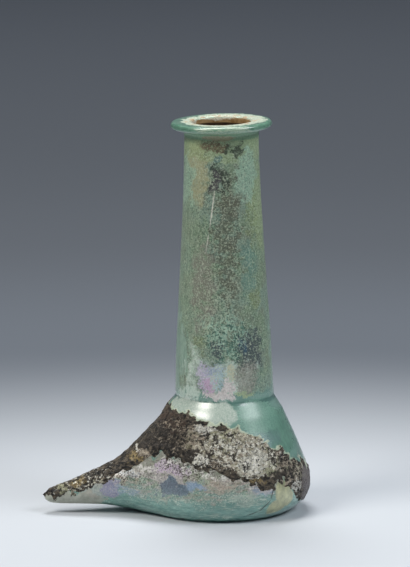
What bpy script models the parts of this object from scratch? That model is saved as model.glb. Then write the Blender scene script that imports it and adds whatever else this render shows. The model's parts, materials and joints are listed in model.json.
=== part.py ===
"""A hand-blown glass perfume flask: a tall tapering neck with a flat rim, on a
low body that is drawn out to one side into a hollow, blunt horn.

Metres, +Z up. The origin is on the resting plane, below the foot of the neck.
The horn points along -X, and the flask is symmetric about the XZ plane.

The glass is one closed skin of loops. They run up the outside from the tip of
the horn to the rim, over the rim, and down the inside to the end of the hollow.
In the neck and the rim each loop is a circle. In the body each loop lies in a
plane that swings about a pivot above the horn, from level at the neck to
upright at the horn, as the foot of a sock bends away from its leg.
"""

import math

import bmesh
import bpy
from mathutils import Vector

MM = 0.001
SEGMENTS = 48

# Rim: a flat collar with a rounded edge, a little more tilted than the neck
RIM_TOP_Z = 128.8 * MM
RIM_R = 16.6 * MM
RIM_TILT = math.radians(1.35)
EDGE_ROUND = 1.15 * MM
MOUTH_R = 9.6 * MM
LIP_ROUND = 1.0 * MM
UNDERSIDE_DROP = 0.45 * MM
COLLAR_FILLET = 1.6 * MM

# Neck: it widens downwards and leans a little towards the horn
NECK_FOOT_Z = 37.4 * MM
NECK_FOOT_X = 0.2 * MM
NECK_TOP_Z = 122.0 * MM
NECK_LEAN = math.radians(0.7)
NECK_LOOPS = 10

# Body: a low cone on a rounded heel, which is drawn in more on the side away from the horn
BASE_R = 21.8 * MM
BASE_SHIFT = -1.7 * MM
HEEL_Z = 10.5 * MM
HEEL_BULGE = 6.8 * MM

# Horn: about as wide as it is high, with a blunt tip, and flowing softly into the body
HORN_ROOT_X = -10.0 * MM
HORN_TIP_X = -59.3 * MM
HORN_WIDTH_RATIO = 1.06
HORN_BLEND = 6.0 * MM
TIP_LENGTH = 2.2 * MM

# The underside is flat, with a soft edge of this height
FLATTENING = 0.7 * MM

# Walls: the base is thick, and the glass of the horn thickens to a solid tip
NECK_WALL = 1.8 * MM
BODY_WALL = 1.9 * MM
BASE_WALL = 2.6 * MM
THICKENING_STARTS_X = -36.0 * MM
THICKENING = 0.11
HOLLOW_ENDS_X = -48.0 * MM

# The planes of the body's loops
PIVOT = Vector((-22.0 * MM, 0.0, 38.6 * MM))
SPINE_REACH = 24.0 * MM
FAN_FROM = math.radians(2.5)
FAN_TO = math.radians(90.0)
FAN_LOOPS = 22
HORN_LOOPS = 11
LONGEST_RAY = 60.0 * MM
HALVINGS = 26


def in_metres(pairs):
    """A table written in millimetres, as metres."""
    return tuple((a * MM, b * MM) for a, b in pairs)


# Height and radius of the neck, from the foot up
NECK_PROFILE = in_metres(
    ((37.4, 16.5), (39.5, 16.0), (46, 15.95), (60, 15.3), (78, 14.2), (96, 13.1), (112, 12.4), (125, 12.1))
)
# Height and radius of the body's cone, from the heel up
SHOULDER_PROFILE = in_metres(
    ((10.5, 28.4), (13.5, 27.7), (17.6, 26.2), (23, 23.9), (27.4, 21.9), (31.5, 20.0), (35, 18.0), (37.4, 16.5),
     (39.5, 16.0))
)
# Place along X and height of the line on top of the horn, from its tip
CREST = in_metres(
    ((-60, 7.0), (-57, 7.9), (-54, 8.9), (-48, 11.2), (-42, 13.8), (-37, 15.9), (-34, 17.3),
     (-31, 20.2), (-28, 22.9), (-24, 26.2), (-20, 28), (-16, 29.5), (-10, 32))
)
# Place along X and height of the line under the horn, from its tip
KEEL = in_metres(((-60, 3.4), (-54, 2.9), (-46, 2.6), (-38, 2.1), (-32, 0.9), (-26, -0.6), (-10, -3)))


def smooth_value(table, place):
    """The value at a place between the points of a table, on a curve that runs smoothly through them."""
    places = [p for p, _ in table]
    values = [v for _, v in table]
    if place <= places[0]:
        return values[0]
    if place >= places[-1]:
        return values[-1]
    k = max(i for i in range(len(places) - 1) if places[i] <= place)
    step = places[k + 1] - places[k]

    def slope(i):
        low, high = max(i - 1, 0), min(i + 1, len(places) - 1)
        return (values[high] - values[low]) / (places[high] - places[low])

    t = (place - places[k]) / step
    return (
        values[k] * (2 * t**3 - 3 * t**2 + 1)
        + values[k + 1] * (3 * t**2 - 2 * t**3)
        + step * slope(k) * (t**3 - 2 * t**2 + t)
        + step * slope(k + 1) * (t**3 - t**2)
    )


def outside_body(point):
    """About how far a point lies outside the body's cone and heel; negative inside."""
    if point.z >= HEEL_Z:
        return math.hypot(point.x - NECK_FOOT_X, point.y) - smooth_value(SHOULDER_PROFILE, point.z)
    depth = min((HEEL_Z - point.z) / HEEL_Z, 1.0)
    radius = BASE_R + HEEL_BULGE * math.sqrt(1.0 - depth**2)
    return math.hypot(point.x - NECK_FOOT_X - BASE_SHIFT * depth**2, point.y) - radius


def horn_middle(x):
    """The point halfway between the keel and the crest at a place along X."""
    return Vector((x, 0.0, (smooth_value(CREST, x) + smooth_value(KEEL, x)) / 2))


def horn_half_height(x):
    """Half the height of the horn at a place along X, rounded off at the tip."""
    beyond = min(max(HORN_TIP_X + TIP_LENGTH - x, 0.0) / TIP_LENGTH, 1.0)
    return (smooth_value(CREST, x) - smooth_value(KEEL, x)) / 2 * math.sqrt(1.0 - beyond**2)


def outside_horn(point):
    """About how far a point lies outside the horn; negative inside."""
    if point.x > HORN_ROOT_X:
        return LONGEST_RAY
    from_middle = math.hypot(point.z - horn_middle(point.x).z, point.y / HORN_WIDTH_RATIO)
    return from_middle - horn_half_height(point.x)


def outside_glass(point):
    """The body and the horn joined by a soft hollow, as hot glass flows."""
    body, horn = outside_body(point), outside_horn(point)
    mix = max(HORN_BLEND - abs(body - horn), 0.0) / HORN_BLEND
    return min(body, horn) - HORN_BLEND * mix**2 / 4


def surface_point(centre, direction, wall):
    """Where a ray from the centre of a loop reaches a depth of wall under the skin."""
    near, far = 0.0, LONGEST_RAY
    for _ in range(HALVINGS):
        middle = (near + far) / 2
        if outside_glass(centre + direction * middle) < -wall:
            near = middle
        else:
            far = middle
    return centre + direction * near


def settled(point, floor):
    """The point lifted onto the floor, with a soft edge round the flat."""
    above = point.z - floor
    if above < -FLATTENING:
        above = 0.0
    elif above < FLATTENING:
        above = (above + FLATTENING) ** 2 / (4 * FLATTENING)
    return Vector((point.x, point.y, floor + above))


def circle_loop(radius, centre, tilt):
    """A circle across the neck, as points that start on the side away from the horn."""
    across = Vector((math.cos(tilt), 0.0, math.sin(tilt)))
    points = []
    for k in range(SEGMENTS):
        angle = 2 * math.pi * k / SEGMENTS
        points.append(centre + across * radius * math.cos(angle) + Vector((0.0, radius * math.sin(angle), 0.0)))
    return points


def body_loop(centre, towards_keel, wall, floor):
    """A loop round the body in one plane, as deep under the skin as wall."""
    points = []
    for k in range(SEGMENTS):
        angle = 2 * math.pi * k / SEGMENTS
        direction = towards_keel * math.cos(angle) + Vector((0.0, math.sin(angle), 0.0))
        points.append(settled(surface_point(centre, direction, wall), floor))
    return points


def neck_centre(z):
    """The middle of the neck at a height."""
    return Vector((NECK_FOOT_X - math.tan(NECK_LEAN) * (z - NECK_FOOT_Z), 0.0, z))


def arc(centre_r, centre_h, radius, start, end, steps):
    """Points of a rim profile along an arc: radius and height, angles in degrees."""
    points = []
    for k in range(steps + 1):
        angle = math.radians(start + (end - start) * k / steps)
        points.append((centre_r + radius * math.cos(angle), centre_h + radius * math.sin(angle)))
    return points


def rim_loops():
    """Loops from the top of the neck, under and round the collar, to the mouth."""
    neck_r = NECK_PROFILE[-1][1]
    underside = -2 * EDGE_ROUND - UNDERSIDE_DROP
    profile = arc(neck_r + COLLAR_FILLET, underside - COLLAR_FILLET, COLLAR_FILLET, 180, 90, 3)
    profile += arc(RIM_R - EDGE_ROUND, -EDGE_ROUND, EDGE_ROUND, -90, 90, 6)
    profile += arc(MOUTH_R + LIP_ROUND, -LIP_ROUND, LIP_ROUND, 90, 180, 3)
    top = neck_centre(RIM_TOP_Z)
    axis = Vector((-math.sin(RIM_TILT), 0.0, math.cos(RIM_TILT)))
    return [circle_loop(radius, top + axis * height, RIM_TILT) for radius, height in profile]


def neck_loops(wall):
    """Loops up the neck, from above its foot to below the collar."""
    low = NECK_PROFILE[1][0]
    loops = []
    for k in range(NECK_LOOPS):
        z = low + (NECK_TOP_Z - low) * k / (NECK_LOOPS - 1)
        loops.append(circle_loop(smooth_value(NECK_PROFILE, z) - wall, neck_centre(z), NECK_LEAN))
    return loops


def wall_at(x):
    """Thickness of the glass in the body and along the horn."""
    return BODY_WALL + THICKENING * max(THICKENING_STARTS_X - x, 0.0)


def body_loops(wall_of, floor, end_x):
    """Loops from inside the horn's end back to the foot of the neck."""
    loops = []
    for k in range(HORN_LOOPS, 0, -1):
        # The loops crowd together towards the end.
        x = PIVOT.x + (end_x - PIVOT.x) * math.sin(math.pi / 2 * k / (HORN_LOOPS + 1))
        loops.append(body_loop(horn_middle(x), Vector((0.0, 0.0, -1.0)), wall_of(x), floor))
    for k in range(FAN_LOOPS):
        angle = FAN_TO + (FAN_FROM - FAN_TO) * k / (FAN_LOOPS - 1)
        outwards = Vector((math.cos(angle), 0.0, -math.sin(angle)))
        loops.append(body_loop(PIVOT + outwards * SPINE_REACH, outwards, wall_of(PIVOT.x), floor))
    return loops


def skin(mesh_builder, loops, first_pole, last_pole):
    """Joins each loop to the next with faces, and closes both ends to a point."""
    rows = [[mesh_builder.verts.new(point) for point in loop] for loop in loops]
    for low, high in zip(rows, rows[1:]):
        for k in range(SEGMENTS):
            after = (k + 1) % SEGMENTS
            mesh_builder.faces.new((low[k], high[k], high[after], low[after]))
    for row, pole in ((rows[0], first_pole), (rows[-1], last_pole)):
        tip = mesh_builder.verts.new(pole)
        for k in range(SEGMENTS):
            mesh_builder.faces.new((row[k], row[(k + 1) % SEGMENTS], tip))
    bmesh.ops.recalc_face_normals(mesh_builder, faces=mesh_builder.faces)


def glass_material():
    """Pale green glass, dulled by age."""
    material = bpy.data.materials.new("aged_green_glass")
    material.use_nodes = True
    shader = material.node_tree.nodes["Principled BSDF"]
    shader.inputs["Base Color"].default_value = (0.30, 0.46, 0.38, 1.0)
    shader.inputs["Roughness"].default_value = 0.22
    shader.inputs["Metallic"].default_value = 0.0
    return material


def make_flask(collection):
    """The flask: one hollow piece of glass, open at the mouth."""
    outer = body_loops(lambda x: 0.0, 0.0, HORN_TIP_X)
    inner = body_loops(wall_at, BASE_WALL, HOLLOW_ENDS_X)
    loops = outer + neck_loops(0.0) + rim_loops() + neck_loops(NECK_WALL)[::-1] + inner[::-1]
    builder = bmesh.new()
    skin(builder, loops, horn_middle(HORN_TIP_X), horn_middle(HOLLOW_ENDS_X))
    mesh = bpy.data.meshes.new("flask")
    builder.to_mesh(mesh)
    builder.free()
    mesh.materials.append(glass_material())
    mesh.shade_smooth()
    mesh.set_sharp_from_angle(angle=math.radians(50))
    collection.objects.link(bpy.data.objects.new("flask", mesh))


def main():
    for thing in list(bpy.data.objects):
        bpy.data.objects.remove(thing)
    collection = bpy.data.collections.new("perfume_flask")
    bpy.context.scene.collection.children.link(collection)
    make_flask(collection)


main()
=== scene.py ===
"""A hand-blown glass perfume flask that lay long in the ground, in a plain studio.

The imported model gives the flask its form. This script gives the glass a fine skin,
lays the film, the soil and the rough crust of burial on it, and lights it softly.
Metres, +Z up, the horn along -X. Sizes on a surface are given in millimetres.
"""

import json
import logging
import math
from collections import Counter
from dataclasses import dataclass
from enum import Enum
from typing import Any

import bpy
from mathutils import Matrix, Vector, noise

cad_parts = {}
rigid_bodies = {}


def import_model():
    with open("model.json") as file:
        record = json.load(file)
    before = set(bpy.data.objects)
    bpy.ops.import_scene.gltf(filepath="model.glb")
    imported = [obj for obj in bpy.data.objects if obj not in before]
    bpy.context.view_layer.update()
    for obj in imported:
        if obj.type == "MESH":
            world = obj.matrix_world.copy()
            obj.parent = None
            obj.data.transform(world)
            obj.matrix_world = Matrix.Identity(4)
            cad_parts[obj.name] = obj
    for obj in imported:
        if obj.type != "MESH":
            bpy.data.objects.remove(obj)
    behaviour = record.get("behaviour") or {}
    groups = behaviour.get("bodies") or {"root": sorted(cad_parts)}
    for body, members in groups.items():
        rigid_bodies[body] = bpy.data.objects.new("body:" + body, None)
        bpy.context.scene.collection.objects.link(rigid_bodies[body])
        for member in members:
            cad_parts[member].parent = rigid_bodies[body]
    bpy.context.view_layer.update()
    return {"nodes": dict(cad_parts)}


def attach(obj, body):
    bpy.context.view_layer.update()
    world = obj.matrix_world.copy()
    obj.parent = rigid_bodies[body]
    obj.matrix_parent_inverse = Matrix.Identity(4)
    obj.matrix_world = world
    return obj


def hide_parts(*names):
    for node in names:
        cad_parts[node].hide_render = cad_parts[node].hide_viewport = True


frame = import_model()

MM = 0.001
TO_MM = 1000.0

log = logging.getLogger("flask")

Triple = tuple[float, float, float]
Table = tuple[tuple[float, float], ...]
Socket = bpy.types.NodeSocket

# A smooth step keeps between its ends by itself. Without the clamp the renderer has room for all the coats.
SMOOTH_STEP = {"interpolation_type": "SMOOTHSTEP", "clamp": False}
MIX_COLOURS = {"data_type": "RGBA"}
MULTIPLY_ADD = {"operation": "MULTIPLY_ADD"}

# The places of the two materials on the glass
OUTER, INNER = 0, 1


class Slot(Enum):
    """The record's material slots."""

    GLASS = "glass"
    CRUST = "crust"


class Grain(Enum):
    """Patterns that weathering leaves: millimetres across, stretch along X, Y and Z, how strong the finer
    parts are, with 0 for flat flakes and less for curling strands, and the part of the pattern's own
    range that is spread over 0 to 1. The scales and pits of decayed glass are mostly 0.05 to 0.3 mm across,
    too fine to show, so specks, chips and drift are drawn coarser. The others have the sizes of real ones."""

    SPECK = (0.55, (1.0, 1.0, 1.0), 0.65, (0.33, 0.67))
    GRIT = (1.1, (1.0, 1.0, 1.0), 0.7, (0.35, 0.65))
    FLAKE = (1.0, (2.1, 2.1, 1.0), 0.72, (0.42, 0.58))
    MOTTLE = (2.4, (1.0, 1.0, 1.0), 0.68, (0.33, 0.67))
    LUMP = (3.4, (1.0, 1.0, 1.0), 0.7, (0.36, 0.64))
    CLOUD = (8.0, (1.0, 1.0, 1.0), 0.66, (0.33, 0.67))
    STREAK = (1.2, (1.0, 1.0, 6.0), 0.7, (0.33, 0.67))
    CHIP = (0.8, (1.0, 1.0, 1.0), 0.0, (0.0, 1.0))
    VEIN = (2.2, (1.0, 1.0, 1.0), -0.5, (0.44, 0.5))
    DRIFT = (0.6, (5.0, 5.0, 1.0), 0.7, (0.33, 0.67))


def linear(colour: str) -> tuple[float, float, float, float]:
    """Turns an sRGB hex colour into the linear colour that a shader takes.

    Args:
        colour: The colour as "#rrggbb".

    Returns:
        Red, green, blue and alpha, with alpha 1.
    """
    values = [int(colour[k : k + 2], 16) / 255 for k in (1, 3, 5)]
    red, green, blue = (v / 12.92 if v <= 0.04045 else ((v + 0.055) / 1.055) ** 2.4 for v in values)
    return red, green, blue, 1.0


def add_node(
    tree: bpy.types.NodeTree, kind: str, settings: dict[str, Any], inputs: dict[Any, Any]
) -> bpy.types.Node:
    """Adds a node with its settings, and sets or links its inputs.

    Args:
        tree: The node tree that the node goes into.
        kind: The node's type name in Blender.
        settings: Values of the node's own properties.
        inputs: What each input takes, by its name or number: a value, or the socket to link to it.

    Returns:
        The new node.
    """
    node = tree.nodes.new(kind)
    for name, value in settings.items():
        setattr(node, name, value)
    for name, value in inputs.items():
        if isinstance(value, Socket):
            tree.links.new(value, node.inputs[name])
        else:
            node.inputs[name].default_value = value
    return node


@dataclass(frozen=True)
class Patch:
    """A rounded spot where a coat lies: its middle and its reach in millimetres, how strongly the coat lies
    there, how soft its edge is, its turn about Y in degrees, and whether its edge is straight or wanders."""

    at: Triple
    reach: Triple
    strength: float = 1.0
    edge: float = 0.6
    turn: float = 0.0
    straight: bool = False


@dataclass(frozen=True)
class Coat:
    """One coat on a surface: its darker and lighter colour and the grain they mix by, its roughness, how much
    light it lets through, its relief in millimetres, how torn it is and by which grain, how well it covers
    what is under it, and where it lies."""

    dark: str
    light: str
    grain: Grain
    roughness: float
    clearness: float = 0.0
    relief: float = 0.0
    flaking: float = 0.0
    tear: Grain = Grain.MOTTLE
    opacity: float = 1.0
    patches: tuple[Patch, ...] = ()


class Paint:
    """A material built from coats, laid one over another on the bare surface. Patches wander by up to half of
    WANDER over about WANDER_SIZE, in millimetres. A clear coat gleams where the surface is as smooth as
    GLOSSY, and is gone where it is as rough as MATT."""

    WANDER = 9.0
    WANDER_SIZE = 5.0
    SWIRL = {"Detail": 5.0, "Roughness": 0.6}
    DETAIL = 4.0
    COAT_ROUGHNESS = 0.28
    GLOSSY = 0.24
    MATT = 0.34

    def __init__(self, name: str, bare: Coat, ior: float, coat_weight: float = 0.0) -> None:
        """Starts the material with its bare surface.

        Args:
            name: The material's name.
            bare: The surface under all the coats.
            ior: The index of refraction.
            coat_weight: How far a thin clear coat covers it.
        """
        self.material = bpy.data.materials.new(name)
        self.material.use_nodes = True
        self.tree = self.material.node_tree
        self.shader = self.tree.nodes["Principled BSDF"]
        self.shader.inputs["IOR"].default_value = ior
        self.shader.inputs["Coat Weight"].default_value = coat_weight
        self.shader.inputs["Coat Roughness"].default_value = self.COAT_ROUGHNESS
        place = add_node(self.tree, "ShaderNodeTexCoord", {}, {}).outputs["Object"]
        # The swirl reads the place in metres: one step fewer keeps the material small enough for the renderer
        scale = TO_MM / self.WANDER_SIZE
        swirl = add_node(self.tree, "ShaderNodeTexNoise", {}, {"Vector": place, "Scale": scale, **self.SWIRL})
        in_mm = add_node(self.tree, "ShaderNodeVectorMath", {"operation": "SCALE"}, {0: place, "Scale": TO_MM})
        self.place = in_mm.outputs[0]
        parts = add_node(self.tree, "ShaderNodeSeparateColor", {}, {0: swirl.outputs["Color"]})
        drift = add_node(self.tree, "ShaderNodeCombineXYZ", {}, {k: parts.outputs[k] for k in range(3)})
        centring = {0: self.place, 1: (self.WANDER / 2,) * 3}
        middle = add_node(self.tree, "ShaderNodeVectorMath", {"operation": "SUBTRACT"}, centring)
        wandering = {0: drift.outputs[0], 1: (self.WANDER,) * 3, 2: middle.outputs[0]}
        self.wandering = add_node(self.tree, "ShaderNodeVectorMath", MULTIPLY_ADD, wandering).outputs[0]
        self.grains: dict[tuple[Grain, int], Socket] = {}
        self.laid = 0
        self.colour: Any = self.shade(bare)
        self.roughness: Any = bare.roughness
        self.clearness: Any = bare.clearness
        self.height: Any = 0.0

    def grained(self, grain: Grain, turn: int) -> Socket:
        """A pattern of a grain.

        Args:
            grain: The grain.
            turn: Which one of three patterns that are alike, counted round.

        Returns:
            A socket that goes from 0 to 1.
        """
        if (grain, turn % 3) not in self.grains:
            size, stretch, fineness, (low, high) = grain.value
            fitting = {0: self.place if fineness else self.wandering, 1: tuple(1 / (size * s) for s in stretch)}
            scaled = add_node(self.tree, "ShaderNodeVectorMath", {"operation": "MULTIPLY"}, fitting)
            kind = "ShaderNodeTexNoise" if fineness else "ShaderNodeTexVoronoi"
            detail = {"Detail": self.DETAIL, "Roughness": abs(fineness)} if fineness else {}
            pattern = add_node(self.tree, kind, {}, {"Vector": scaled.outputs[0], "Scale": 1.0, **detail})
            # Separate Color, not a vector node, keeps the material small enough for the renderer
            parts = add_node(self.tree, "ShaderNodeSeparateColor", {}, {0: pattern.outputs["Color"]})
            for k in range(3):
                part = parts.outputs[k]
                if fineness < 0:
                    folded = add_node(self.tree, "ShaderNodeMath", {"operation": "PINGPONG"}, {0: part, 1: 0.5})
                    part = folded.outputs[0]
                ends = {"Value": part, "From Min": low, "From Max": high}
                self.grains[grain, k] = add_node(self.tree, "ShaderNodeMapRange", {}, ends).outputs[0]
        return self.grains[grain, turn % 3]

    def shade(self, coat: Coat) -> Socket:
        """The colour of a coat, between its dark and its light by its grain."""
        mixed = {0: self.grained(coat.grain, self.laid), 6: linear(coat.dark), 7: linear(coat.light)}
        return add_node(self.tree, "ShaderNodeMix", MIX_COLOURS, mixed).outputs[2]

    def turned(self, place: Socket, at: Vector, turn: float) -> tuple[Socket, Vector]:
        """Turns the place on the surface about Y, for a patch that lies at a slant.

        Args:
            place: The place in millimetres.
            at: The patch's middle.
            turn: The turn in degrees.

        Returns:
            The turned place and the turned middle.
        """
        # Products with the turned axes, not a Mapping node, keep the material small enough for the renderer
        axes = tuple(Matrix.Rotation(-math.radians(turn), 3, "Y"))
        product = {"operation": "DOT_PRODUCT"}
        along = [add_node(self.tree, "ShaderNodeVectorMath", product, {0: place, 1: axis}) for axis in axes]
        values = {k: node.outputs["Value"] for k, node in enumerate(along)}
        turned = add_node(self.tree, "ShaderNodeCombineXYZ", {}, values)
        return turned.outputs[0], Vector(axis.dot(at) for axis in axes)

    def spots(self, patches: tuple[Patch, ...]) -> Socket:
        """Where the patches lie.

        Args:
            patches: The patches, which join where they meet.

        Returns:
            A socket that is 1 inside a patch of full strength and 0 outside.
        """
        joined = None
        for patch in patches:
            place = self.place if patch.straight else self.wandering
            at = Vector(patch.at)
            if patch.turn:
                place, at = self.turned(place, at, patch.turn)
            shift = tuple(-a / r for a, r in zip(at, patch.reach))
            fitting = {0: place, 1: tuple(1 / r for r in patch.reach), 2: shift}
            local = add_node(self.tree, "ShaderNodeVectorMath", MULTIPLY_ADD, fitting)
            away = add_node(self.tree, "ShaderNodeVectorMath", {"operation": "LENGTH"}, {0: local.outputs[0]})
            ends = {"From Min": 1 + patch.edge, "From Max": 1 - patch.edge, "To Min": 0.0, "To Max": patch.strength}
            fade = add_node(self.tree, "ShaderNodeMapRange", SMOOTH_STEP, {"Value": away.outputs["Value"], **ends})
            if joined is None:
                joined = fade.outputs[0]
            else:
                both = {0: joined, 1: fade.outputs[0]}
                joined = add_node(self.tree, "ShaderNodeMath", {"operation": "MAXIMUM"}, both).outputs[0]
        return joined

    def lay(self, coat: Coat, where: Socket | None = None) -> None:
        """Lays a coat over what is there.

        Args:
            coat: The coat.
            where: A socket from 0 to 1 that says where it lies; its patches say so when this is left out.
        """
        where = where or self.spots(coat.patches)
        self.laid += 1
        tear = self.grained(coat.tear, self.laid + 1)
        gap = add_node(self.tree, "ShaderNodeMath", MULTIPLY_ADD, {0: tear, 1: coat.flaking, 2: -coat.flaking})
        whole = {0: where, 1: 1 + coat.flaking, 2: gap.outputs[0]}
        torn = add_node(self.tree, "ShaderNodeMath", MULTIPLY_ADD, whole).outputs[0]
        half_edge = 0.5 / (1 + coat.flaking)
        ends = {"Value": torn, "From Min": 0.5 - half_edge, "From Max": 0.5 + half_edge, "To Max": coat.opacity}
        cover = add_node(self.tree, "ShaderNodeMapRange", SMOOTH_STEP, ends).outputs[0]
        colours = {0: cover, 6: self.colour, 7: self.shade(coat)}
        self.colour = add_node(self.tree, "ShaderNodeMix", MIX_COLOURS, colours).outputs[2]
        roughnesses = {0: cover, 2: self.roughness, 3: coat.roughness}
        self.roughness = add_node(self.tree, "ShaderNodeMix", {}, roughnesses).outputs[0]
        clearnesses = {0: cover, 2: self.clearness, 3: coat.clearness}
        self.clearness = add_node(self.tree, "ShaderNodeMix", {}, clearnesses).outputs[0]
        if coat.relief:
            rise = add_node(self.tree, "ShaderNodeMath", {"operation": "MULTIPLY"}, {0: tear, 1: coat.relief})
            heights = {0: cover, 2: self.height, 3: rise.outputs[0]}
            self.height = add_node(self.tree, "ShaderNodeMix", {}, heights).outputs[0]

    def lay_along_border(self, coat: Coat, width: float, full_at: float, strength: float) -> None:
        """Lays a coat along the crust's upper border, from what the piece's points say of it.

        Args:
            coat: The coat.
            width: How far from the border it ends, in millimetres.
            full_at: How far from the border it is at its strongest, in millimetres.
            strength: How strong it is there.
        """
        away = add_node(self.tree, "ShaderNodeAttribute", {"attribute_name": "margin"}, {}).outputs["Fac"]
        ends = {"Value": away, "From Min": width, "From Max": full_at, "To Max": strength}
        self.lay(coat, add_node(self.tree, "ShaderNodeMapRange", SMOOTH_STEP, ends).outputs[0])

    def finish(self) -> bpy.types.Material:
        """Joins the coats to the shader.

        Returns:
            The finished material.
        """
        inputs = self.shader.inputs
        self.tree.links.new(self.colour, inputs["Base Color"])
        self.tree.links.new(self.roughness, inputs["Roughness"])
        self.tree.links.new(self.clearness, inputs["Transmission Weight"])
        if inputs["Coat Weight"].default_value:
            ends = {"Value": self.roughness, "From Min": self.MATT, "From Max": self.GLOSSY}
            gloss = add_node(self.tree, "ShaderNodeMapRange", {}, ends)
            self.tree.links.new(gloss.outputs[0], inputs["Coat Weight"])
        if isinstance(self.height, Socket):
            bumps = {"Height": self.height, "Distance": MM, "Strength": 1.0}
            bump = add_node(self.tree, "ShaderNodeBump", {}, bumps)
            self.tree.links.new(bump.outputs[0], inputs["Normal"])
        return self.material


def interpolated(table: Table, place: float) -> float:
    """Reads a table of places and values, on straight lines between its points.

    Args:
        table: The places, in rising order, with their values.
        place: The place to read it at.

    Returns:
        The value there, or the nearer end's value outside the table.
    """
    if place <= table[0][0]:
        return table[0][1]
    for (p0, v0), (p1, v1) in zip(table, table[1:]):
        if place <= p1:
            return v0 + (v1 - v0) * (place - p0) / (p1 - p0)
    return table[-1][1]


def pick(piece: bpy.types.Object) -> None:
    """Makes a piece the only one that is selected and active.

    Args:
        piece: The piece.
    """
    bpy.ops.object.select_all(action="DESELECT")
    piece.select_set(True)
    bpy.context.view_layer.objects.active = piece


def shape_with(piece: bpy.types.Object, kind: str, settings: dict[str, Any]) -> None:
    """Adds a modifier to a piece and applies it.

    Args:
        piece: The piece.
        kind: The modifier's type name in Blender.
        settings: Values of the modifier's properties.
    """
    pick(piece)
    modifier = piece.modifiers.new(kind.lower(), kind)
    for name, value in settings.items():
        setattr(modifier, name, value)
    bpy.ops.object.modifier_apply(modifier=modifier.name)


def select_faces(piece: bpy.types.Object, chosen: list[bool]) -> None:
    """Goes into edit mode on a piece with some of its faces selected.

    Args:
        piece: The piece.
        chosen: Whether each face is selected.
    """
    pick(piece)
    bpy.ops.object.mode_set(mode="EDIT")
    bpy.ops.mesh.select_mode(type="FACE")
    bpy.ops.mesh.select_all(action="DESELECT")
    bpy.ops.object.mode_set(mode="OBJECT")
    piece.data.polygons.foreach_set("select", chosen)
    bpy.ops.object.mode_set(mode="EDIT")


def delete_faces(piece: bpy.types.Object, gone: list[bool]) -> None:
    """Deletes faces of a piece.

    Args:
        piece: The piece.
        gone: Whether each face is deleted.
    """
    select_faces(piece, gone)
    bpy.ops.mesh.delete(type="FACE")
    bpy.ops.object.mode_set(mode="OBJECT")


def clouds(name: str, size: float, depth: int = 2) -> bpy.types.Texture:
    """Makes a cloudy pattern for a Displace modifier.

    Args:
        name: The texture's name.
        size: How far its lumps lie apart, in metres.
        depth: How many times finer lumps are added.

    Returns:
        The texture.
    """
    made = bpy.data.textures.new(name, "CLOUDS")
    made.noise_scale = size
    made.noise_depth = depth
    return made


@dataclass(frozen=True)
class CrustBand:
    """The borders of the crust: height over the floor by place along X, in millimetres. At the back they
    swing up and down, and everywhere they are ragged."""

    upper: Table = (
        (-18.2, 60.0), (-18.0, 35.0), (-13.0, 34.5), (-9.0, 32.5), (-3.0, 31.7), (2.7, 30.0), (7.0, 28.5),
        (11.0, 26.4), (15.6, 23.6), (20.0, 20.2), (25.0, 16.5), (29.0, 13.0),
    )
    lower: Table = (
        (-60.0, 5.0), (-54.0, 5.6), (-50.0, 6.4), (-46.0, 8.1), (-42.0, 10.1), (-38.0, 12.2), (-33.0, 14.9),
        (-27.0, 18.5), (-22.6, 21.0), (-16.7, 19.7), (-10.7, 18.5), (-4.5, 16.2), (2.0, 14.9), (6.0, 12.9),
        (10.0, 11.3), (17.0, 12.6), (19.0, 9.9), (21.5, 6.8), (24.0, 3.3), (29.0, 2.0),
    )
    back_swing: float = 2.6
    back_length: float = 8.0
    back_at: float = 12.0
    ragged: float = 2.2
    ragged_size: float = 2.6
    ragged_falloff: float = 0.9
    ragged_step: float = 2.1
    ragged_octaves: int = 4
    far: float = 9.0

    def inside(self, place: Vector) -> float:
        """How far inside the borders a point lies, in millimetres; negative outside.

        Args:
            place: The point in metres.

        Returns:
            The distance to the nearer border, about.
        """
        x, y, z = place * TO_MM
        behind = min(max(y / self.back_at, 0.0), 1.0)
        swing = self.back_swing * behind * math.sin(x / self.back_length)
        where = Vector((x, y, z)) / self.ragged_size
        ragged = self.ragged * noise.fractal(where, self.ragged_falloff, self.ragged_step, self.ragged_octaves)
        over = z - (interpolated(self.lower, x) + swing)
        under = interpolated(self.upper, x) - swing - z
        return min(over, under) + ragged

    def from_upper(self, place: Vector) -> float:
        """How far a point lies from the upper border.

        Args:
            place: The point in metres.

        Returns:
            The distance in millimetres, or a large one where the lower border is nearer.
        """
        x, _, z = place * TO_MM
        to_upper = abs(interpolated(self.upper, x) - z)
        return abs(self.inside(place)) if to_upper < abs(z - interpolated(self.lower, x)) else self.far


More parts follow.
